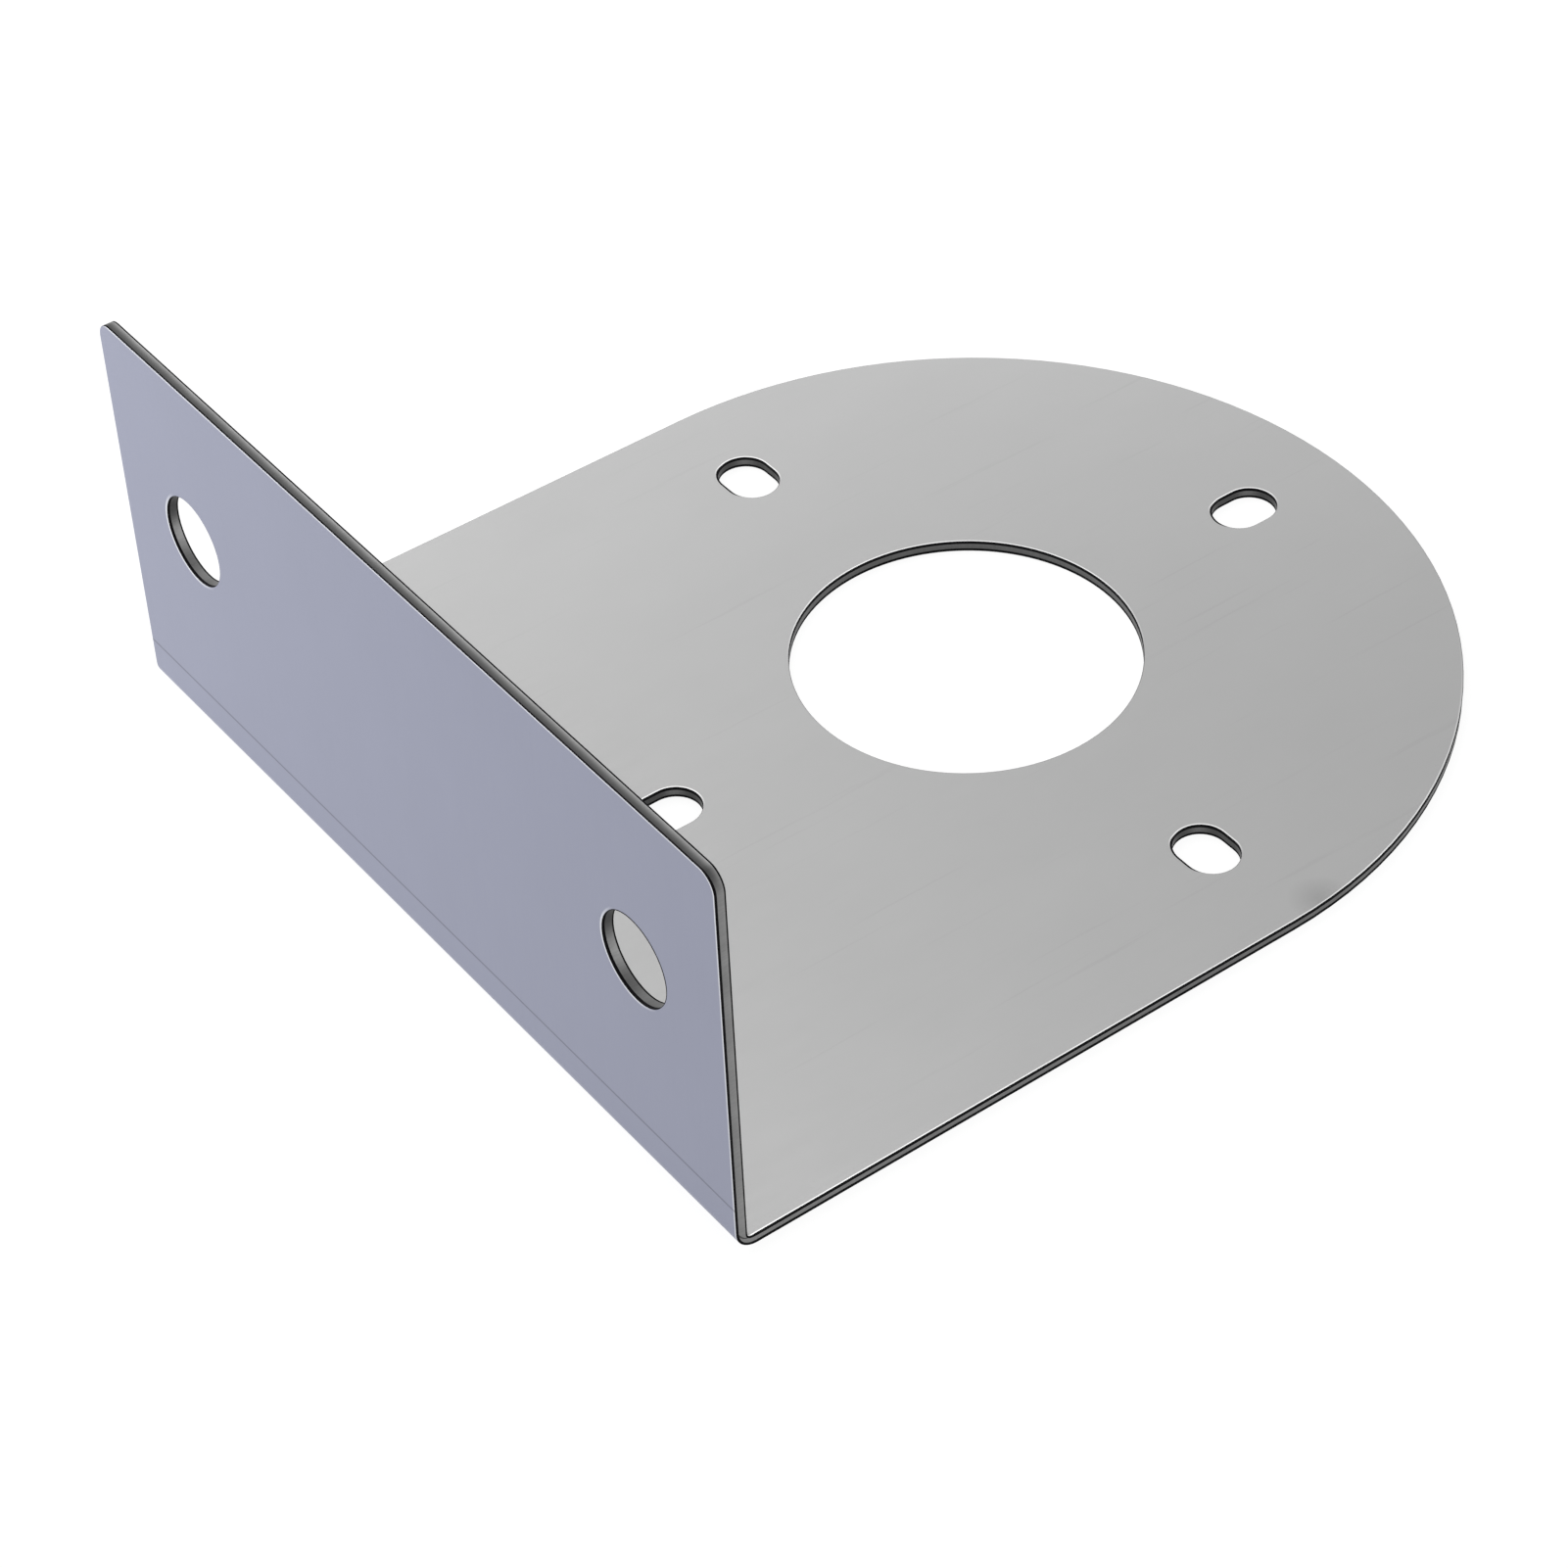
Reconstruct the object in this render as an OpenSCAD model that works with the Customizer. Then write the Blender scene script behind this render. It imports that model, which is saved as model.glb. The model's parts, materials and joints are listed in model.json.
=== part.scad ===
// Folded sheet-metal L bracket: a level plate with a full round end and a big
// round hole with four radial slots about it, and one upright flange with two
// round holes, bent up square along the plate's straight end.
// Units are millimetres. The origin is on the plate's underside, at the middle
// of the big hole. +Y runs from the flange to the round end, and +Z is up.

/* [Sheet] */
// Thickness of the sheet
sheet_t = 1.2; // [0.8:0.1:3]
// Radius inside the fold
bend_r = 0.5; // [0.4:0.1:4]

/* [Plate] */
// Width of the sheet, along the fold
plate_w = 100; // [86:1:160]
// From the flange's outer face to the middle of the big hole and of the round end
hub_setback = 65.5; // [48:0.5:140]

/* [Big hole] */
// Diameter of the big hole
hub_hole_d = 36; // [10:0.5:64]

/* [Radial slots] */
// Diameter of the circle that the slots' middles lie on
slot_circle_d = 74.5; // [48:0.5:86]
// Width of a slot
slot_w = 5.6; // [4:0.1:7]
// Length of a slot from end to end, along the radius
slot_l = 7.2; // [5.8:0.1:11]
// Number of slots, the first towards +X
slot_count = 4; // [2:1:8]

/* [Flange] */
// Height of the flange above the plate's underside
flange_h = 45.5; // [34:0.5:140]
// Radius of the flange's two top corners
flange_corner_r = 2; // [0.5:0.5:12]

/* [Flange holes] */
// Diameter of each flange hole
flange_hole_d = 9.5; // [4:0.1:14]
// Distance between the two flange holes, centre to centre
flange_hole_pitch = 73.7; // [30:0.1:84]
// Height of the flange holes' centres above the plate's underside
flange_hole_z = 26.4; // [12:0.1:38]

/* [Hidden] */
// Round things are true rounds: this is only how finely they are previewed
$fn = 96;
// How far a cut runs past the sheet on either side
cut_past = 1;
// Radius outside the fold, half a thickness more than it has in a fold of even thickness
fold_r = bend_r + 1.5 * sheet_t;
// Outer face of the flange
flange_y = -hub_setback;
// Where the fold ends and the flat plate begins
plate_start_y = flange_y + fold_r;
// Height of the flange's straight part, from the top of the fold
flange_leg_h = flange_h - fold_r;
// Straight part of a slot, between the centres of its round ends
slot_straight = slot_l - slot_w;

// Cuts from below the sheet to above it, from a flat shape
module through_sheet() {
    translate([0, 0, -cut_past])
        linear_extrude(sheet_t + 2 * cut_past)
            children();
}

// A slot with round ends, in the plane, along X and centred
module slot_shape() {
    square([slot_straight, slot_w], center = true);
    for (end = [-1, 1])
        translate([end * slot_straight / 2, 0])
            circle(d = slot_w);
}

// The plate's outline from above: straight sides and a full round end
module plate_outline() {
    circle(d = plate_w);
    translate([-plate_w / 2, plate_start_y])
        square([plate_w, -plate_start_y]);
}

// The flat plate, with the big hole and the ring of slots
module plate_leg() {
    difference() {
        linear_extrude(sheet_t)
            plate_outline();
        through_sheet()
            circle(d = hub_hole_d);
        for (i = [0 : slot_count - 1])
            rotate(i * 360 / slot_count)
                translate([slot_circle_d / 2, 0, 0])
                    through_sheet()
                        slot_shape();
    }
}

// The flange's straight part, lying flat: X along the fold, Y up from the fold
module flange_outline() {
    corner_x = plate_w / 2 - flange_corner_r;
    corner_y = flange_leg_h - flange_corner_r;
    translate([-plate_w / 2, 0])
        square([plate_w, corner_y]);
    translate([-corner_x, 0])
        square([2 * corner_x, flange_leg_h]);
    for (side = [-1, 1])
        translate([side * corner_x, corner_y])
            circle(r = flange_corner_r);
}

// The upright flange, stood on the fold, with its two holes
module flange_leg() {
    translate([0, flange_y + sheet_t, fold_r])
        rotate([90, 0, 0])
            difference() {
                linear_extrude(sheet_t)
                    flange_outline();
                for (side = [-1, 1])
                    translate([side * flange_hole_pitch / 2, flange_hole_z - fold_r, 0])
                        through_sheet()
                            circle(d = flange_hole_d);
            }
}

// The space inside the fold: X and Y run from the middle of the outside radius
module fold_inside() {
    skin = fold_r - sheet_t;
    middle = skin - bend_r;
    translate([-skin, -middle])
        square(fold_r);
    translate([-middle, -skin])
        square(fold_r);
    translate([-middle, -middle])
        circle(r = bend_r);
}

// The bend between the two, a quarter turn with a blunt outside, as wide as the sheet
module fold() {
    translate([-plate_w / 2, plate_start_y, fold_r])
        rotate([90, 0, 90])
            linear_extrude(plate_w)
                difference() {
                    intersection() {
                        circle(r = fold_r);
                        translate([-fold_r, -fold_r])
                            square(fold_r);
                    }
                    fold_inside();
                }
}

// The whole bracket, one piece of folded sheet
module bracket() {
    color([0.70, 0.71, 0.74])
        union() {
            plate_leg();
            fold();
            flange_leg();
        }
}

bracket();
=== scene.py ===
"""A folded sheet-metal L bracket on a plain white floor, under soft studio light.

The bracket is drawn as a flat sheet first. A point of the sheet is (u, s, w) in
millimetres: u runs along the fold, s runs from the flange's free edge, round the
fold, to the plate's round end, and w goes through the sheet, from its outer skin
to its inner one. On the plate, u and s are the frame's own X and Y.
"""
import json
import math

import bpy
import numpy as np
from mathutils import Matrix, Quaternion, Vector
from mathutils.geometry import delaunay_2d_cdt


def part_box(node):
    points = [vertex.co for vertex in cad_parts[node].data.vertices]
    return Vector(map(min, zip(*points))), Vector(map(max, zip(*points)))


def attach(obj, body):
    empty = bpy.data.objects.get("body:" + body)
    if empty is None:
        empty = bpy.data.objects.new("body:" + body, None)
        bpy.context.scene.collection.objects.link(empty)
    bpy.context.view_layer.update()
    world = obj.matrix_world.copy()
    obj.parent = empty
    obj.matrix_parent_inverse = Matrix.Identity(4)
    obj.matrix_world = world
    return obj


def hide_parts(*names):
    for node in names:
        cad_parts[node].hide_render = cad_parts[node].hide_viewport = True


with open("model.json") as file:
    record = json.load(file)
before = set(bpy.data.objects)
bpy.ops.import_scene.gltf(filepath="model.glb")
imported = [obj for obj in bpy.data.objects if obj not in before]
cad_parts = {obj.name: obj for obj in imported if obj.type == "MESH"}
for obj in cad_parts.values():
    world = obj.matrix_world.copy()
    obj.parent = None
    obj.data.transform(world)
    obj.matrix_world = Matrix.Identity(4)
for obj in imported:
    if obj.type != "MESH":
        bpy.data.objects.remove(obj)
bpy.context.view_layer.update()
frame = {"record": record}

MM = 0.001

# Sizes of the bracket in millimetres, from the frame
low, high = (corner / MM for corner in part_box("bracket"))
mounts = {mount["name"]: mount for mount in frame["record"]["mounts"]}
sheet_t = mounts["big_hole"]["dims"]["length_mm"]
big_hole_r = mounts["big_hole"]["dims"]["r_mm"]
slot_r = mounts["slots_across"]["dims"]["hole_r_mm"]
slot_straight = mounts["slots_across"]["dims"]["slot_length_mm"] - 2 * slot_r
slot_circle_r = mounts["slots_across"]["dims"]["spacing_x_mm"] / 2
slot_count = mounts["slots_across"]["dims"]["count"] + mounts["slots_along"]["dims"]["count"]
flange_hole_r = mounts["flange_holes"]["dims"]["hole_r_mm"]
flange_hole_x = mounts["flange_holes"]["dims"]["spacing_x_mm"] / 2
flange_hole_z = mounts["flange_holes"]["pos_m"][2] / MM
half_w = high.x
flange_y = low.y
flange_h = high.z

# Radii inside and outside the fold, and of the flange's two top corners
bend_r = 0.5
fold_r = 2.3
corner_r = 2.0

# The fold, and where the flat sheet's stretches begin and end
fold_flat = fold_r - sheet_t - bend_r
fold_length = math.pi / 4 * (fold_r + bend_r) + fold_flat
plate_start = flange_y + fold_r
flange_start = plate_start - fold_length
flange_end = flange_start - (flange_h - fold_r)

# Share of the way round the fold that its inside spends on each of its two flat bits
INNER_FLAT = 0.25

# Points nearer than this, in millimetres, are one point
SAME_POINT = 1e-6
# How finely the sheet is divided: counts, an angle, and spacings in millimetres
FOLD_STEPS = 12
ARC_STEP = math.radians(2.8)
SMALL_ARC_STEPS = 12
SIDE_STEP = 3.5
SLOT_STEP = 0.8
GRID_STEP = 4.0
# How far from a rim the grid's points stay, as a share of its step
GRID_CLEAR = 0.6
LIP_STEPS = 4


class Edge:
    """How a cut edge looks: the painted highlight beside it, a bright line, and the burnt lines on its
    wall. Lengths are in millimetres."""

    def __init__(self, halo, outer_line, inner_line, tone, catch=0.0, catch_way=(1, 0),
                 inner_rim=0.0, outer_rim=0.0, rim_all_round=False):
        # Width of the painted highlight, a bright line, on each skin
        self.halo = halo
        # Heights of the burnt lines on the wall, by the outer skin and by the inner one
        self.outer_line = outer_line
        self.inner_line = inner_line
        # Painted light and shade: how light the cut wall is, and the painted gleam where it faces the
        # catch way
        self.tone = tone
        self.catch = catch
        self.catch_way = np.array(catch_way) / np.linalg.norm(catch_way)
        # How far the burnt line runs out onto the inner skin, where the wall faces the painted
        # highlight's way
        self.inner_rim = inner_rim
        # How far it runs out onto the outer skin, where the wall faces RIM_WAY or on every side
        self.outer_rim = outer_rim
        self.rim_all_round = rim_all_round


# Radius of the lip between a skin and the cut wall, and the share of it next to the skin that
# isn't burnt
LIP = 0.04
LIP_CLEAN = 0.5
# Share of the painted highlight's width, next to the lip, over which it is at its brightest
HALO_FULL = 0.6
# Least width of a burnt line on a skin, which keeps its faces open where the line fades out
LEAST_RIM = 0.01
# Painted light and shade on the outline's wall: how light it is on the flange, on the plate by the fold,
# and on the round end
FLANGE_TONE = 1.25
PLATE_TONE = 1.15
ROUND_END_TONE = 0.76

# Ways that a cut wall faces, along u and s: that of the edges which carry the painted highlight, a
# bright line, and where the burnt line runs out furthest onto the outer skin
HIGHLIGHT_WAY = np.array([0.82, -0.57])
RIM_WAY = np.array([0.6, -0.8])
# Where a slot's burnt line runs out onto the inner skin besides, how far, and the shares of facing
# that way between which it widens
SLOT_RIM_WAY = np.array([0.4, 0.92])
SLOT_RIM = 0.18
SLOT_RIM_FROM, SLOT_RIM_TO = 0.6, 0.9
# How fast the painted highlight comes up as an edge turns to its way, and how fast the painted gleam
# fades as a wall turns away from its catch way
HIGHLIGHT_GAIN = 1.5
CATCH_POWER = 16

OUTLINE_EDGE = Edge(halo=0.16, outer_line=0.36, inner_line=0.28, tone=1.0, inner_rim=0.05)
BIG_HOLE_EDGE = Edge(halo=0.16, outer_line=0.31, inner_line=0.22, tone=0.55, inner_rim=0.10)
SLOT_EDGE = Edge(halo=0.18, outer_line=0.28, inner_line=0.25, tone=0.27,
                 catch=0.5, catch_way=HIGHLIGHT_WAY, inner_rim=0.08)
LEFT_HOLE_EDGE = Edge(halo=0.34, outer_line=0.22, inner_line=0.14, tone=0.64,
                      catch=1.5, catch_way=(0.93, -0.37), outer_rim=0.12)
RIGHT_HOLE_EDGE = Edge(halo=0.28, outer_line=0.20, inner_line=0.14, tone=0.55,
                       catch=1.3, catch_way=(0.87, -0.49), outer_rim=0.20, rim_all_round=True)
# The outline's burnt lines on the flange, as shares of their heights on the plate
FLANGE_OUTER_LINE = 0.68
FLANGE_INNER_LINE = 0.48
TOP_OUTER_LINE = 0.40
# How late round the flange's corner the top edge's own line height comes in
TOP_LINE_POWER = 4


def arc(centre, radius, start, end, steps, side=1):
    """Points of an arc with the normals that point out of the sheet; side is -1 round a hole."""
    angles = np.linspace(start, end, steps + 1)
    out = np.stack([np.cos(angles), np.sin(angles)], 1)
    return np.array(centre) + radius * out, side * out


def straight(start, end, normal, stops):
    """Points of a straight stretch from start to end, at the given shares of its length."""
    shares = np.array(stops)[:, None]
    points = np.array(start) * (1 - shares) + np.array(end) * shares
    return points, np.tile(np.array(normal, float), (len(points), 1))


def even_stops(length, step):
    """Shares of a stretch's length at about the given spacing, ends included."""
    return np.linspace(0, 1, max(2, round(length / step) + 1))


def joined(stretches):
    """One closed loop from stretches that meet end to end, each shared point kept once."""
    points, normals = [], []
    for stretch_points, stretch_normals in stretches:
        points.extend(stretch_points)
        normals.extend(stretch_normals)
    points, normals = np.array(points), np.array(normals)
    keep = np.linalg.norm(points - np.roll(points, -1, axis=0), axis=1) > SAME_POINT
    return points[keep], normals[keep]


def side_stations():
    """Places along s of the points on a straight side, from the flange's corner to the round end."""
    bottom = flange_end + corner_r
    flange_part = bottom + (flange_start - bottom) * even_stops(flange_start - bottom, SIDE_STEP)
    fold_part = flange_start + fold_length * np.linspace(0, 1, FOLD_STEPS + 1)
    plate_part = plate_start - plate_start * even_stops(-plate_start, SIDE_STEP)
    return np.concatenate([flange_part[:-1], fold_part, plate_part[1:]])


def outline():
    """The sheet's outline: counter-clockwise, with the round end and the two flange corners."""
    stations = side_stations()
    shares = (stations - stations[0]) / (stations[-1] - stations[0])
    corner_x = half_w - corner_r
    corner_s = flange_end + corner_r
    return joined([
        straight((half_w, stations[0]), (half_w, stations[-1]), (1, 0), shares),
        arc((0, 0), half_w, 0, math.pi, round(math.pi / ARC_STEP)),
        straight((-half_w, stations[-1]), (-half_w, stations[0]), (-1, 0), 1 - shares[::-1]),
        arc((-corner_x, corner_s), corner_r, math.pi, 1.5 * math.pi, SMALL_ARC_STEPS),
        straight((-corner_x, flange_end), (corner_x, flange_end), (0, -1),
                 even_stops(2 * corner_x, SIDE_STEP)),
        arc((corner_x, corner_s), corner_r, 1.5 * math.pi, 2 * math.pi, SMALL_ARC_STEPS),
    ])


def round_hole(centre, radius, steps):
    """A round hole's loop, clockwise."""
    return joined([arc(centre, radius, 0, -2 * math.pi, steps, side=-1)])


def slot(angle):
    """A slot's loop, clockwise, with its length along the radius at the given angle."""
    out = np.array([math.cos(angle), math.sin(angle)])
    across = np.array([-out[1], out[0]])
    middle = slot_circle_r * out
    far, near = middle + out * slot_straight / 2, middle - out * slot_straight / 2
    quarter = math.pi / 2
    stops = even_stops(slot_straight, SLOT_STEP)
    return joined([
        arc(far, slot_r, angle + quarter, angle - quarter, 2 * SMALL_ARC_STEPS, side=-1),
        straight(far - slot_r * across, near - slot_r * across, across, stops),
        arc(near, slot_r, angle - quarter, angle - 3 * quarter, 2 * SMALL_ARC_STEPS, side=-1),
        straight(near + slot_r * across, far + slot_r * across, -across, stops),
    ])


def all_loops():
    """The outline and every hole, each with its kind of edge."""
    loops = [(outline(), OUTLINE_EDGE)]
    loops.append((round_hole((0, 0), big_hole_r, round(2 * math.pi / ARC_STEP)), BIG_HOLE_EDGE))
    for i in range(slot_count):
        loops.append((slot(i * 2 * math.pi / slot_count), SLOT_EDGE))
    for side, edge in ((-1, LEFT_HOLE_EDGE), (1, RIGHT_HOLE_EDGE)):
        centre = (side * flange_hole_x, flange_start - (flange_hole_z - fold_r))
        loops.append((round_hole(centre, flange_hole_r, 4 * SMALL_ARC_STEPS), edge))
    return loops


def bent(flat_points, flat_normals):
    """Bends the flat sheet: points (u, s, w) and normals go to places and directions in the frame."""
    u, s, w = flat_points.T
    round_fold = np.clip((plate_start - s) / fold_length, 0, 1)
    outer_turn = round_fold * math.pi / 2
    outer_y = plate_start - fold_r * np.sin(outer_turn)
    outer_z = fold_r * (1 - np.cos(outer_turn))
    # Inside the fold the two faces run on flat for a bit, on either side of the small radius
    inner_turn = np.clip((round_fold - INNER_FLAT) / (1 - 2 * INNER_FLAT), 0, 1) * math.pi / 2
    flat_before = np.clip(round_fold / INNER_FLAT, 0, 1) * fold_flat
    flat_after = np.clip((round_fold - 1) / INNER_FLAT + 1, 0, 1) * fold_flat
    inner_y = plate_start - flat_before - bend_r * np.sin(inner_turn)
    inner_z = sheet_t + bend_r * (1 - np.cos(inner_turn)) + flat_after
    through = w / sheet_t
    past_fold = np.maximum(s - plate_start, 0)
    up_flange = np.maximum(flange_start - s, 0)
    y = outer_y + (inner_y - outer_y) * through + past_fold
    z = outer_z + (inner_z - outer_z) * through + up_flange
    turn = outer_turn + (inner_turn - outer_turn) * through
    sin, cos = np.sin(turn), np.cos(turn)
    nu, ns, nw = flat_normals.T
    normals = np.stack([nu, ns * cos + nw * sin, nw * cos - ns * sin], 1)
    return np.stack([u, y, z], 1) * MM, normals


OUTER, INNER, CUT, BURNT = range(4)


class Sheet:
    """The points and faces of the flat sheet, as they are made."""

    def __init__(self):
        self.points, self.normals, self.edges, self.looks = [], [], [], []
        self.faces, self.finishes = [], []

    def add_points(self, points, normals, edges=None, looks=None):
        """Adds points (u, s, w) with what their attributes hold, and returns their numbers."""
        first = len(self.points)
        self.points.extend(points)
        self.normals.extend(normals)
        self.edges.extend(np.zeros((len(points), 3)) if edges is None else edges)
        self.looks.extend(np.zeros((len(points), 3)) if looks is None else looks)
        return list(range(first, first + len(points)))

    def add_face(self, corners, finish):
        """Adds one face between points that are there already."""
        self.faces.append(corners)
        self.finishes.append(finish)

    def add_strip(self, ring, next_ring, finish):
        """Adds the faces between one closed ring and the next."""
        for i in range(len(ring)):
            j = (i + 1) % len(ring)
            self.add_face((ring[i], ring[j], next_ring[j], next_ring[i]), finish)


def half_profile(edge, line, rim):
    """Half of an edge's section, from a skin to the end of the burnt line: (inset, depth, angle, shine,
    finish) of each ring. The finish is that of the strip from a ring to the next."""
    burnt_from = LIP_CLEAN
    if np.any(rim):
        rim = np.maximum(rim, LEAST_RIM)
        burnt_from = 0
    reach = LIP + rim
    rings = [(reach + edge.halo, 0, 0, 0, OUTER),
             (reach + edge.halo * HALO_FULL, 0, 0, 1, OUTER)]
    if np.any(rim):
        rings.append((reach, 0, 0, 1, BURNT))
    for i in range(LIP_STEPS + 1):
        share = i / LIP_STEPS
        angle = share * math.pi / 2
        finish = OUTER if share < burnt_from else BURNT
        rings.append((LIP * (1 - math.sin(angle)), LIP * (1 - math.cos(angle)), angle, 1, finish))
    rings.append((0, LIP + line, math.pi / 2, 1, CUT))
    return rings


def profile(edge, outer_line, inner_line, outer_rim, inner_rim):
    """An edge's whole section, from the outer skin round to the inner one, as in half_profile."""
    rings = half_profile(edge, outer_line, outer_rim)
    other_half = half_profile(edge, inner_line, inner_rim)
    for k in range(len(other_half) - 1, -1, -1):
        inset, depth, angle, shine, _ = other_half[k]
        finish = other_half[k - 1][4] if k else OUTER
        finish = INNER if finish == OUTER else finish
        rings.append((inset, sheet_t - depth, math.pi - angle, shine, finish))
    return rings


def on_flange(points):
    """1 on the flange and 0 on the plate, with the change spread over the fold."""
    return np.clip((plate_start - points[:, 1]) / fold_length, 0, 1)


def on_top_edge(points, edge):
    """1 along the flange's top edge, and 0 below its corners and on every other loop."""
    if edge is not OUTLINE_EDGE:
        return np.zeros(len(points))
    return np.clip((flange_end + corner_r - points[:, 1]) / corner_r, 0, 1)


def line_heights(points, edge):
    """Heights of the burnt lines at each point of a loop, by the outer skin and by the inner one."""
    outer_share, inner_share = np.ones(len(points)), np.ones(len(points))
    if edge is OUTLINE_EDGE:
        flange, top = on_flange(points), on_top_edge(points, edge) ** TOP_LINE_POWER
        outer_share -= flange * (1 - FLANGE_OUTER_LINE)
        outer_share -= top * (FLANGE_OUTER_LINE - TOP_OUTER_LINE)
        inner_share -= flange * (1 - FLANGE_INNER_LINE)
    return edge.outer_line * outer_share, edge.inner_line * inner_share


def rim_widths(points, normals, edge):
    """How far the burnt lines run out onto the outer skin and the inner one at each point of a loop."""
    facing = normals @ RIM_WAY
    outer = edge.outer_rim * (abs(facing) if edge.rim_all_round else np.clip(facing, 0, 1))
    toward_highlight = np.sqrt(np.clip(normals @ HIGHLIGHT_WAY, 0, 1))
    inner = edge.inner_rim * toward_highlight * (1 - on_flange(points))
    if edge is SLOT_EDGE:
        facing = normals @ SLOT_RIM_WAY
        widened = np.clip((facing - SLOT_RIM_FROM) / (SLOT_RIM_TO - SLOT_RIM_FROM), 0, 1)
        inner = np.maximum(inner, SLOT_RIM * widened)
    return outer, inner


def wall_tones(points, normals, edge):
    """How light the cut wall is at each point of a loop: painted light and shade, with a painted gleam.
    """
    facing = np.clip(normals @ edge.catch_way, 0, 1)
    tone = edge.tone + edge.catch * facing ** CATCH_POWER
    if edge is OUTLINE_EDGE:
        flange = on_flange(points)
        to_round_end = np.clip(1 - points[:, 1] / plate_start, 0, 1)
        plate_tone = PLATE_TONE + (ROUND_END_TONE - PLATE_TONE) * to_round_end
        tone = tone * (plate_tone + (FLANGE_TONE - plate_tone) * flange)
    return tone


def add_edge(sheet, loop, edge):
    """The rings of one loop. Returns the first and the last: those on the outer and the inner skin."""
    points, normals = loop
    run = np.cumsum(np.linalg.norm(points - np.roll(points, 1, axis=0), axis=1))
    tone, slope = wall_tones(points, normals, edge), on_top_edge(points, edge)
    outer_line, inner_line = line_heights(points, edge)
    outer_rim, inner_rim = rim_widths(points, normals, edge)
    # Painted highlight: how squarely each edge faces the way that gets the bright line
    toward_highlight = np.clip(HIGHLIGHT_GAIN * (normals @ HIGHLIGHT_WAY), 0, 1)
    nothing = np.zeros(len(points))
    rings = []
    for inset, depth, angle, shine, finish in profile(edge, outer_line, inner_line, outer_rim, inner_rim):
        level = depth + nothing
        flat = np.column_stack([points - normals * (inset + nothing)[:, None], level])
        facing = np.column_stack([normals * math.sin(angle), nothing - math.cos(angle)])
        edges = np.column_stack([run, level, shine * toward_highlight])
        looks = np.column_stack([tone, slope, nothing])
        rings.append((sheet.add_points(flat, facing, edges, looks), finish))
    for (ring, finish), (next_ring, _) in zip(rings, rings[1:]):
        sheet.add_strip(ring, next_ring, finish)
    return rings[0][0], rings[-1][0]


def inside(polygon, points):
    """True for each point that lies inside a closed polygon."""
    x, y = points[:, 0][:, None], points[:, 1][:, None]
    ax, ay = polygon.T
    bx, by = np.roll(polygon, -1, axis=0).T
    spans = (ay > y) != (by > y)
    with np.errstate(divide="ignore", invalid="ignore"):
        crossing = ax + (y - ay) * (bx - ax) / (by - ay)
    return (spans & (x < crossing)).sum(1) % 2 == 1


def grid_points(polygon, holes):
    """A grid of points inside a region and well clear of its edges."""
    low_corner, high_corner = polygon.min(0), polygon.max(0)
    columns = np.arange(math.ceil(low_corner[0] / GRID_STEP), high_corner[0] / GRID_STEP)
    rows = np.arange(math.ceil(low_corner[1] / GRID_STEP), high_corner[1] / GRID_STEP)
    points = np.array([(c * GRID_STEP, r * GRID_STEP) for r in rows for c in columns])
    rims = np.concatenate([polygon, *holes])
    gap = np.linalg.norm(points[:, None] - rims[None], axis=2).min(1)
    keep = inside(polygon, points) & (gap > GRID_STEP * GRID_CLEAR)
    for hole in holes:
        keep &= ~inside(hole, points)
    return points[keep]


def fill_region(polygon, holes):
    """Triangulates a flat region. Returns the grid points, which follow the rims' own, and the
    triangles."""
    extra = grid_points(polygon, holes)
    rims = [polygon, *holes]
    points = np.concatenate([*rims, extra])
    edges = []
    first = 0
    for rim in rims:
        edges.extend((first + i, first + (i + 1) % len(rim)) for i in range(len(rim)))
        first += len(rim)
    whole_hull, epsilon = 0, 1e-7
    made = delaunay_2d_cdt([Vector(p) for p in points], edges, [], whole_hull, epsilon, True)
    places, triangles, sources = made[0], made[2], made[3]
    centres = np.array([np.mean([places[i] for i in t], axis=0) for t in triangles])
    keep = inside(polygon, centres)
    for hole in holes:
        keep &= ~inside(hole, centres)
    return extra, [[sources[i][0] for i in t] for t, kept in zip(triangles, keep) if kept]


def add_skin_region(sheet, rims, extra, triangles, depth, finish):
    """One skin of a flat region: the rims' points are there already, and the grid's are added."""
    facing = (0, 0, 1 if finish == INNER else -1)
    flat = [(p[0], p[1], depth) for p in extra]
    ids = [i for rim in rims for i in rim] + sheet.add_points(flat, [facing] * len(flat))
    for corners in triangles:
        order = corners if finish == INNER else corners[::-1]
        sheet.add_face(tuple(ids[i] for i in order), finish)


def cross_line(sheet, left, right, finish):
    """Points across the sheet from a point on its left side to the one on its right, ends included."""
    facing = (0, 0, 1 if finish == INNER else -1)
    a, b = np.array(sheet.points[left]), np.array(sheet.points[right])
    shares = even_stops(b[0] - a[0], GRID_STEP)[1:-1]
    flat = [tuple(a + (b - a) * share) for share in shares]
    return [left, *sheet.add_points(flat, [facing] * len(flat)), right]


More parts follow.
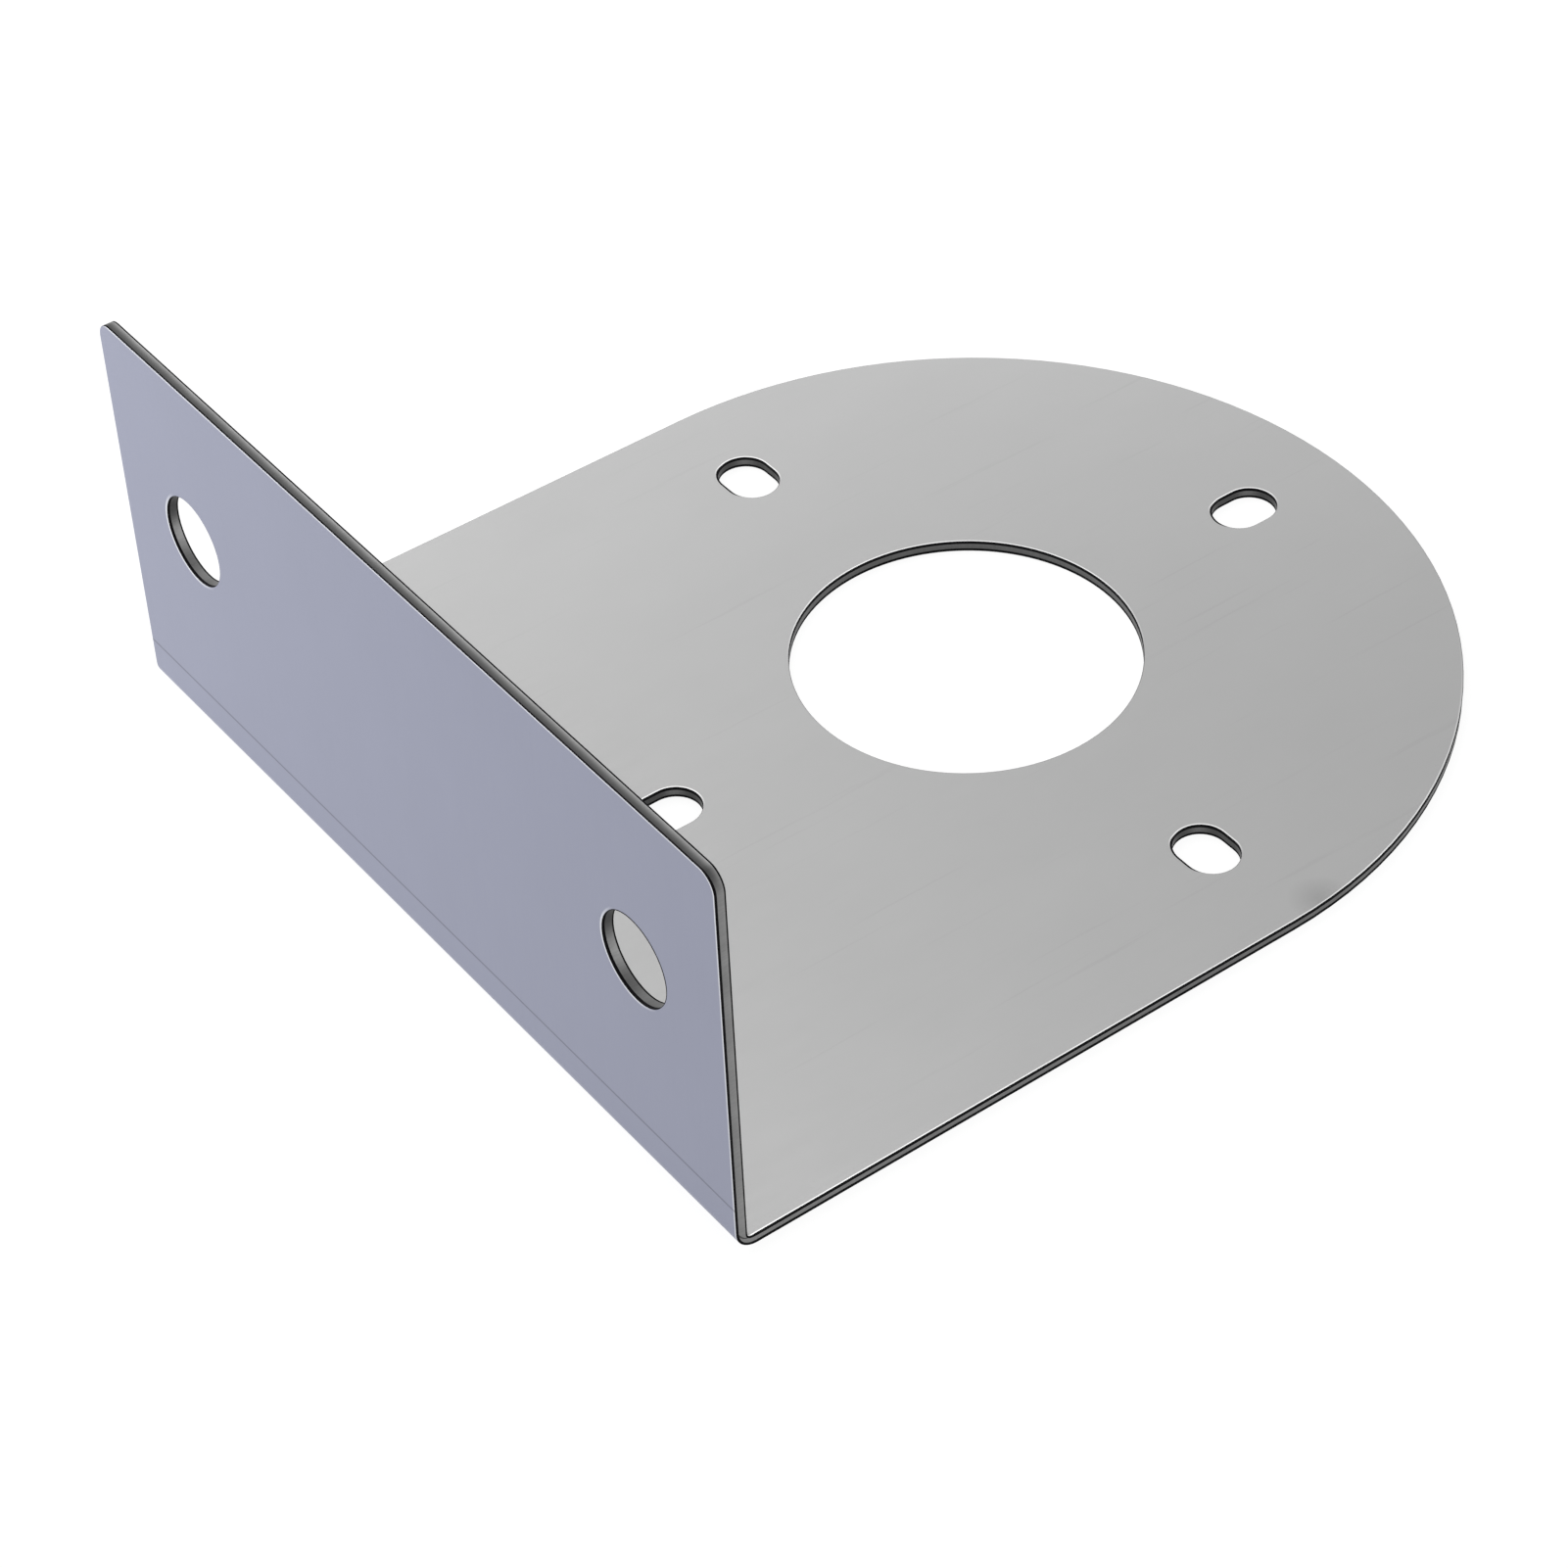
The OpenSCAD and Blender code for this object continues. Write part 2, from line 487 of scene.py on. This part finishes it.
def add_skin(sheet, outline_ring, hole_rings, depth, finish, fills):
    """One whole skin: the plate, the fold's strips and the flange. The flat regions' triangles are kept
    in fills, so that both skins get the same ones."""
    stations = side_stations()
    count = len(stations)
    right = outline_ring[:count]
    arc_count = round(math.pi / ARC_STEP)
    left = outline_ring[count + arc_count - 1:2 * count + arc_count - 1][::-1]
    first = int(np.argmin(abs(stations - flange_start)))
    last = first + FOLD_STEPS
    lines = [cross_line(sheet, left[k], right[k], finish) for k in range(first, last + 1)]
    for line, next_line in zip(lines, lines[1:]):
        for i in range(len(line) - 1):
            corners = (line[i], line[i + 1], next_line[i + 1], next_line[i])
            sheet.add_face(corners if finish == INNER else corners[::-1], finish)
    plate_start_i = outline_ring.index(right[last])
    plate_end_i = outline_ring.index(left[last])
    plate_rim = outline_ring[plate_start_i:plate_end_i + 1] + lines[-1][1:-1]
    flange_right = outline_ring.index(right[first])
    flange_left = outline_ring.index(left[first])
    flange_rim = outline_ring[flange_left:] + outline_ring[:flange_right + 1] + lines[0][1:-1][::-1]
    for region, rim in (("plate", plate_rim), ("flange", flange_rim)):
        rims = [rim, *hole_rings[region]]
        if region not in fills:
            flat = [np.array([sheet.points[i][:2] for i in ring]) for ring in rims]
            fills[region] = fill_region(flat[0], flat[1:])
        extra, triangles = fills[region]
        add_skin_region(sheet, rims, extra, triangles, depth, finish)


def make_sheet():
    """The bracket's mesh. Its finishes are the material indices, and its attributes hold each point's
    place on the flat sheet, its place on the edge with its share of the painted highlight, and the
    wall's tone, which is painted light and shade, and its slope."""
    sheet = Sheet()
    outer_rings, inner_rings = [], []
    for loop, edge in all_loops():
        outer_ring, inner_ring = add_edge(sheet, loop, edge)
        outer_rings.append(outer_ring)
        inner_rings.append(inner_ring)
    plate_holes = slice(1, 2 + slot_count)
    flange_holes = slice(2 + slot_count, None)
    fills = {}
    for rings, depth, finish in ((outer_rings, 0, OUTER), (inner_rings, sheet_t, INNER)):
        holes = {"plate": rings[plate_holes], "flange": rings[flange_holes]}
        add_skin(sheet, rings[0], holes, depth, finish, fills)
    flat = np.array([tuple(p) for p in sheet.points], float)
    places, normals = bent(flat, np.array([tuple(n) for n in sheet.normals], float))
    mesh = bpy.data.meshes.new("bracket_sheet")
    mesh.from_pydata(places.tolist(), [], sheet.faces)
    mesh.polygons.foreach_set("material_index", sheet.finishes)
    mesh.polygons.foreach_set("use_smooth", [True] * len(mesh.polygons))
    for name, rows in (("flat_mm", flat), ("edge_mm", sheet.edges), ("edge_look", sheet.looks)):
        attribute = mesh.attributes.new(name, "FLOAT_VECTOR", "POINT")
        attribute.data.foreach_set("vector", np.array([tuple(row) for row in rows], np.float32).ravel())
    mesh.validate()
    mesh.normals_split_custom_set_from_vertices(normals.tolist())
    piece = bpy.data.objects.new("bracket_sheet", mesh)
    bpy.context.scene.collection.objects.link(piece)
    return piece


def linear(level):
    """A screen level from 0 to 255 as linear light."""
    c = level / 255
    return c / 12.92 if c <= 0.04045 else ((c + 0.055) / 1.055) ** 2.4


def colour(red, green, blue):
    """A screen colour as a linear one."""
    return (linear(red), linear(green), linear(blue), 1.0)


class Nodes:
    """Short ways to lay out a material's nodes."""

    def __init__(self, name):
        self.material = bpy.data.materials.new(name)
        self.material.use_nodes = True
        self.tree = self.material.node_tree
        self.tree.nodes.clear()
        self.shader = self.make("ShaderNodeBsdfPrincipled")
        output = self.make("ShaderNodeOutputMaterial")
        self.link(self.shader.outputs["BSDF"], output.inputs["Surface"])

    def make(self, kind, **settings):
        """A new node with the given settings."""
        node = self.tree.nodes.new(kind)
        for name, value in settings.items():
            setattr(node, name, value)
        return node

    def link(self, output, socket):
        """Wires an output to a socket."""
        self.tree.links.new(output, socket)

    def put(self, value, socket):
        """Gives a socket a wire or a plain value."""
        if isinstance(value, bpy.types.NodeSocket):
            self.link(value, socket)
        else:
            socket.default_value = value

    def attribute(self, name):
        """One of the mesh's own attributes."""
        return self.make("ShaderNodeAttribute", attribute_name=name).outputs["Vector"]

    def part(self, vector, axis):
        """One number of a vector."""
        node = self.make("ShaderNodeSeparateXYZ")
        self.link(vector, node.inputs[0])
        return node.outputs[axis]

    def math(self, operation, a, b=0.0, c=0.0):
        """One sum on up to three numbers."""
        node = self.make("ShaderNodeMath", operation=operation)
        for value, socket in zip((a, b, c), node.inputs):
            self.put(value, socket)
        return node.outputs[0]

    def scaled(self, vector, scale):
        """A vector with each number times its own scale."""
        node = self.make("ShaderNodeVectorMath", operation="MULTIPLY")
        self.link(vector, node.inputs[0])
        node.inputs[1].default_value = scale
        return node.outputs[0]

    def noise(self, vector, scale, detail, roughness, seed):
        """Smooth noise from 0 to 1, mostly near a half."""
        node = self.make("ShaderNodeTexNoise", noise_dimensions="4D")
        self.link(self.scaled(vector, scale), node.inputs["Vector"])
        node.inputs["W"].default_value = seed
        node.inputs["Scale"].default_value = 1.0
        node.inputs["Detail"].default_value = detail
        node.inputs["Roughness"].default_value = roughness
        return node.outputs["Fac"]

    def ramp(self, value, from_low, from_high, to_low, to_high):
        """A value carried evenly from one range to another, and held at its ends."""
        node = self.make("ShaderNodeMapRange", clamp=True)
        for v, socket in zip((value, from_low, from_high, to_low, to_high), node.inputs):
            self.put(v, socket)
        return node.outputs[0]

    def mix(self, factor, a, b):
        """A colour between two others."""
        node = self.make("ShaderNodeMix", data_type="RGBA")
        self.put(factor, node.inputs["Factor"])
        self.put(a, node.inputs["A"])
        self.put(b, node.inputs["B"])
        return node.outputs["Result"]

    def dim(self, tint, factor):
        """A colour times a number."""
        node = self.make("ShaderNodeMix", data_type="RGBA", blend_type="MULTIPLY")
        node.inputs["Factor"].default_value = 1.0
        self.put(tint, node.inputs["A"])
        self.put(factor, node.inputs["B"])
        return node.outputs["Result"]

    def bump(self, height, strength, distance):
        """Small relief on the surface, from a pattern of heights."""
        node = self.make("ShaderNodeBump")
        self.put(strength, node.inputs["Strength"])
        self.put(distance, node.inputs["Distance"])
        self.link(height, node.inputs["Height"])
        self.link(node.outputs["Normal"], self.shader.inputs["Normal"])


# Waves of noise in a millimetre along u, s and w: the mill's grain, its long streaks, and clouding
GRAIN_SCALE = (7.0, 0.12, 1.0)
STREAK_SCALE = (1.1, 0.024, 1.0)
CLOUD_SCALE = (0.11, 0.07, 1.0)
# How much the clouding and the grain lighten and darken a skin
CLOUD_DEPTH = 0.012
GRAIN_DEPTH = 0.015
# Range of the noise over which a streak comes up
STREAK_FROM, STREAK_TO = 0.62, 0.68
# How metallic the bare steel is, and how rough a skin is on and off its grain
STEEL_METALLIC = 0.6
SKIN_SMOOTH, SKIN_ROUGH = 0.40, 0.50


def skin(name, tint, bright, streak_depth):
    """A skin of the sheet: satin steel with the mill's fine grain along s, faint long streaks and
    clouding, and a painted highlight, a bright line along the edges that face the highlight's way.
    Returns the nodes, the places on the flat sheet and the colour so far."""
    n = Nodes(name)
    flat = n.attribute("flat_mm")
    grain = n.noise(flat, GRAIN_SCALE, detail=3.0, roughness=0.6, seed=1.0)
    lines = n.noise(flat, STREAK_SCALE, detail=3.0, roughness=0.7, seed=2.0)
    streak = n.ramp(lines, STREAK_FROM, STREAK_TO, 0.0, 1.0)
    cloud = n.noise(flat, CLOUD_SCALE, detail=3.0, roughness=0.55, seed=3.0)
    shade = n.ramp(cloud, 0.3, 0.7, 1.0 - CLOUD_DEPTH, 1.0 + CLOUD_DEPTH)
    shade = n.math("MULTIPLY", shade, n.ramp(grain, 0.25, 0.75, 1.0 - GRAIN_DEPTH, 1.0 + GRAIN_DEPTH))
    shade = n.math("SUBTRACT", shade, n.math("MULTIPLY", streak, streak_depth))
    base = n.dim(tint, shade)
    # Painted highlight: the bright line beside the edges
    base = n.mix(n.part(n.attribute("edge_mm"), 2), base, bright)
    n.link(n.ramp(grain, 0.2, 0.8, SKIN_SMOOTH, SKIN_ROUGH), n.shader.inputs["Roughness"])
    n.shader.inputs["Metallic"].default_value = STEEL_METALLIC
    n.bump(grain, strength=0.12, distance=0.01 * MM)
    return n, flat, base


def sheen(n, flat):
    """The painted light and shade over the plate: lightest on its left, darkest on the right of its end.
    """
    # Level at the big hole's middle, and what u and s change it by, in half widths of the sheet
    level, by_u, by_uu, by_s, by_ss, by_us = 0.938, -0.078, 0.058, 0.008, 0.050, -0.074
    u = n.math("DIVIDE", n.part(flat, 0), half_w)
    s = n.math("DIVIDE", n.math("MAXIMUM", n.part(flat, 1), flange_y), half_w)
    along_u = n.math("MULTIPLY", u, n.math("MULTIPLY_ADD", u, by_uu, by_u))
    along_s = n.math("MULTIPLY", s, n.math("MULTIPLY_ADD", s, by_ss, by_s))
    both = n.math("MULTIPLY", n.math("MULTIPLY", u, s), by_us)
    return n.math("ADD", n.math("ADD", along_u, along_s), n.math("ADD", both, level))


def inner_skin():
    """The plate's top and the flange's inner face: neutral grey, with one small smudge near the edge."""
    tint, bright = colour(167.5, 167.5, 167.5), colour(236, 236, 236)
    n, flat, base = skin("inner_skin", tint, bright, streak_depth=0.04)
    # Painted light and shade over the plate
    base = n.dim(base, sheen(n, flat))
    smudge_u, smudge_s, smudge_r, smudge_level = half_w - 0.8, 3.9, 3.2, 0.79
    du = n.math("SUBTRACT", n.part(flat, 0), smudge_u)
    ds = n.math("SUBTRACT", n.part(flat, 1), smudge_s)
    away = n.math("SQRT", n.math("ADD", n.math("MULTIPLY", du, du), n.math("MULTIPLY", ds, ds)))
    keep = n.ramp(away, 0.0, smudge_r, smudge_level, 1.0)
    n.link(n.dim(base, keep), n.shader.inputs["Base Color"])
    return n.material


def outer_skin():
    """The flange's outer face and the underside: a cooler grey, which is painted cool light, painted
    shade that darkens it to the right, and the press die's line by the fold.
    """
    # The cooler tint is painted cool light on the flange's face, not the steel's own colour
    tint, bright = colour(160, 163.5, 184), colour(236, 238, 244)
    n, flat, base = skin("outer_skin", tint, bright, streak_depth=0.012)
    # Painted shade: darker towards the right, away from the lamps
    left_level, right_level = 0.955, 0.885
    base = n.dim(base, n.ramp(n.part(flat, 0), -half_w, half_w, left_level, right_level))
    die_line_z, line_half_w, line_level = 5.5, 0.08, 0.6
    die_line_s = flange_start - (die_line_z - fold_r)
    away = n.math("ABSOLUTE", n.math("SUBTRACT", n.part(flat, 1), die_line_s))
    keep = n.ramp(away, line_half_w, 2 * line_half_w, line_level, 1.0)
    n.link(n.dim(base, keep), n.shader.inputs["Base Color"])
    return n.material


def end_line(n):
    """What is left of the wall's level under a short dark line across the sheet's right edge, where the
    flange meets the fold."""
    start_s, start_w = flange_start - 0.15, 0.1
    end_s, end_w = flange_start + fold_length / 2, 1.0
    half_line_w, line_level = 0.05, 0.15
    along = np.array([end_s - start_s, end_w - start_w])
    length = float(np.linalg.norm(along))
    along = along / length
    flat = n.attribute("flat_mm")
    ds = n.math("SUBTRACT", n.part(flat, 1), start_s)
    dw = n.math("SUBTRACT", n.part(flat, 2), start_w)
    cos, sin = (float(share) for share in along)
    forward = n.math("ADD", n.math("MULTIPLY", ds, cos), n.math("MULTIPLY", dw, sin))
    across = n.math("SUBTRACT", n.math("MULTIPLY", ds, sin), n.math("MULTIPLY", dw, cos))
    keep = n.ramp(n.math("ABSOLUTE", across), half_line_w, 2 * half_line_w, line_level, 1.0)
    beyond = n.ramp(n.math("ABSOLUTE", n.math("SUBTRACT", forward, length / 2)),
                    length / 2, length / 2 + half_line_w, 0.0, 1.0)
    beyond = n.math("MAXIMUM", beyond, n.math("LESS_THAN", n.part(flat, 0), 0.0))
    return n.math("MAXIMUM", keep, beyond)


# Levels of the cut wall by the outer skin and by the inner one, away from the flange's top edge
WALL_LOW, WALL_HIGH = 0.19, 0.23
# Level of the wall on the flange's top edge: by the outer skin, how much it gains, and how late
TOP_LOW, TOP_GAIN, TOP_POWER = 0.0252, 0.308, 2.75
# How much the fine marks and the broad bands lighten and darken the wall
MARK_DEPTH = 0.15


def cut_edge():
    """The sheared wall: darker towards the outer skin, with fine marks through the sheet."""
    n = Nodes("cut_edge")
    edge, look = n.attribute("edge_mm"), n.attribute("edge_look")
    level = n.ramp(n.part(edge, 1), 0.1 * sheet_t, 0.9 * sheet_t, WALL_LOW, WALL_HIGH)
    through = n.math("DIVIDE", n.part(edge, 1), sheet_t)
    sloped = n.math("MULTIPLY_ADD", n.math("POWER", through, TOP_POWER), TOP_GAIN, TOP_LOW)
    level = n.math("ADD", level, n.math("MULTIPLY", n.part(look, 1), n.math("SUBTRACT", sloped, level)))
    marks = n.noise(edge, (5.0, 0.8, 0.0), detail=3.0, roughness=0.6, seed=4.0)
    bands = n.noise(edge, (0.22, 0.1, 0.0), detail=2.0, roughness=0.5, seed=5.0)
    for pattern in (marks, bands):
        level = n.math("MULTIPLY", level, n.ramp(pattern, 0.3, 0.7, 1.0 - MARK_DEPTH, 1.0 + MARK_DEPTH))
    # Painted light and shade: the wall's tone, with its painted gleam
    level = n.math("MULTIPLY", level, n.part(look, 0))
    level = n.math("MULTIPLY", level, end_line(n))
    grey = n.make("ShaderNodeCombineColor")
    for channel in grey.inputs:
        n.link(level, channel)
    n.link(grey.outputs[0], n.shader.inputs["Base Color"])
    n.link(n.ramp(marks, 0.3, 0.7, 0.40, 0.55), n.shader.inputs["Roughness"])
    n.shader.inputs["Metallic"].default_value = STEEL_METALLIC
    n.bump(marks, strength=0.25, distance=0.02 * MM)
    return n.material


def burnt_lip():
    """The dark line along both rims of every cut."""
    n = Nodes("burnt_lip")
    edge = n.attribute("edge_mm")
    soot = n.noise(edge, (3.0, 1.0, 0.0), detail=2.0, roughness=0.5, seed=6.0)
    dark, less_dark = colour(10, 10, 12), colour(30, 30, 32)
    base = n.mix(n.ramp(soot, 0.3, 0.7, 0.0, 1.0), dark, less_dark)
    n.link(base, n.shader.inputs["Base Color"])
    n.link(n.ramp(soot, 0.3, 0.7, 0.70, 0.85), n.shader.inputs["Roughness"])
    n.shader.inputs["Specular IOR Level"].default_value = 0.05
    return n.material


def direction(azimuth, elevation):
    """The unit direction at an azimuth and an elevation in degrees: azimuth 0 is -Y and 90 is +X."""
    a, e = math.radians(azimuth), math.radians(elevation)
    return Vector((math.sin(a) * math.cos(e), -math.cos(a) * math.cos(e), math.sin(e)))


WHITE = (1, 1, 1, 1)


def seen_white(tree, lit, share):
    """Lays out what the camera and mirrored or passed light see instead of a shader, by the given share.
    Returns the mix, whose last input takes what they see."""
    path = tree.nodes.new("ShaderNodeLightPath")
    total = path.outputs["Is Camera Ray"]
    for ray in ("Is Glossy Ray", "Is Transmission Ray"):
        node = tree.nodes.new("ShaderNodeMath")
        node.operation = "MAXIMUM"
        tree.links.new(total, node.inputs[0])
        tree.links.new(path.outputs[ray], node.inputs[1])
        total = node.outputs[0]
    weight = tree.nodes.new("ShaderNodeMath")
    weight.operation = "MULTIPLY"
    weight.inputs[1].default_value = share
    tree.links.new(total, weight.inputs[0])
    mix = tree.nodes.new("ShaderNodeMixShader")
    tree.links.new(weight.outputs[0], mix.inputs[0])
    tree.links.new(lit, mix.inputs[1])
    return mix


def make_floor():
    """A wide white floor just under the bracket, which keeps the bracket's soft shadow."""
    half, drop, glow_share, glow_level, grey = 3.0, 0.02 * MM, 0.8, 1.15, 0.9
    mesh = bpy.data.meshes.new("floor")
    corners = [(-half, -half, -drop), (half, -half, -drop), (half, half, -drop), (-half, half, -drop)]
    mesh.from_pydata(corners, [], [(0, 1, 2, 3)])
    floor = bpy.data.objects.new("floor", mesh)
    bpy.context.scene.collection.objects.link(floor)
    material = bpy.data.materials.new("floor_white")
    material.use_nodes = True
    tree = material.node_tree
    tree.nodes.clear()
    diffuse = tree.nodes.new("ShaderNodeBsdfDiffuse")
    diffuse.inputs["Color"].default_value = (grey, grey, grey, 1)
    glow = tree.nodes.new("ShaderNodeEmission")
    glow.inputs["Strength"].default_value = glow_level
    output = tree.nodes.new("ShaderNodeOutputMaterial")
    mix = seen_white(tree, diffuse.outputs[0], glow_share)
    tree.links.new(glow.outputs[0], mix.inputs[2])
    tree.links.new(mix.outputs[0], output.inputs["Surface"])
    mesh.materials.append(material)
    return floor


def make_world(level):
    """Even studio light from all round, seen as plain white."""
    world = bpy.data.worlds.new("studio")
    bpy.context.scene.world = world
    world.use_nodes = True
    tree = world.node_tree
    tree.nodes.clear()
    around = tree.nodes.new("ShaderNodeBackground")
    around.inputs["Color"].default_value = WHITE
    around.inputs["Strength"].default_value = level
    seen = tree.nodes.new("ShaderNodeBackground")
    seen.inputs["Color"].default_value = WHITE
    seen.inputs["Strength"].default_value = 1.0
    output = tree.nodes.new("ShaderNodeOutputWorld")
    mix = seen_white(tree, around.outputs[0], 1.0)
    tree.links.new(seen.outputs[0], mix.inputs[2])
    tree.links.new(mix.outputs[0], output.inputs["Surface"])


def make_lamp(name, azimuth, elevation, distance, size, watts):
    """A soft square lamp turned to the bracket, azimuth 0 in front of the flange and 90 on its right."""
    target = Vector((0, -10, 10)) * MM
    data = bpy.data.lights.new(name, "AREA")
    data.shape = "SQUARE"
    data.size = size
    data.energy = watts
    lamp = bpy.data.objects.new(name, data)
    toward = direction(azimuth, elevation)
    lamp.location = target + toward * distance
    lamp.rotation_mode = "QUATERNION"
    lamp.rotation_quaternion = (-toward).to_track_quat("-Z", "Y")
    bpy.context.scene.collection.objects.link(lamp)


def make_camera():
    """The camera at the photograph's viewing angle."""
    target = Vector((12.06, -31.63, 10.0)) * MM
    distance, roll = 423.0 * MM, math.radians(-2.84)
    back = direction(azimuth=55.23, elevation=42.19)
    data = bpy.data.cameras.new("camera")
    data.sensor_width = 36.0
    data.lens = 101.76
    camera = bpy.data.objects.new("camera", data)
    camera.location = target + back * distance
    camera.rotation_mode = "QUATERNION"
    camera.rotation_quaternion = (-back).to_track_quat("-Z", "Y") @ Quaternion((0, 0, 1), roll)
    bpy.context.scene.collection.objects.link(camera)
    bpy.context.scene.camera = camera


make_camera()
make_world(level=0.4)
make_lamp("lamp_left", azimuth=265, elevation=50, distance=0.5, size=0.3, watts=0.47)
make_lamp("lamp_back_left", azimuth=225, elevation=45, distance=0.5, size=0.3, watts=0.20)
make_lamp("lamp_front_left", azimuth=315, elevation=20, distance=0.3, size=0.2, watts=0.32)

piece = make_sheet()
for material in (outer_skin(), inner_skin(), cut_edge(), burnt_lip()):
    piece.data.materials.append(material)
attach(piece, "root")
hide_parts("bracket")
make_floor()

bpy.context.scene.view_settings.view_transform = "Standard"
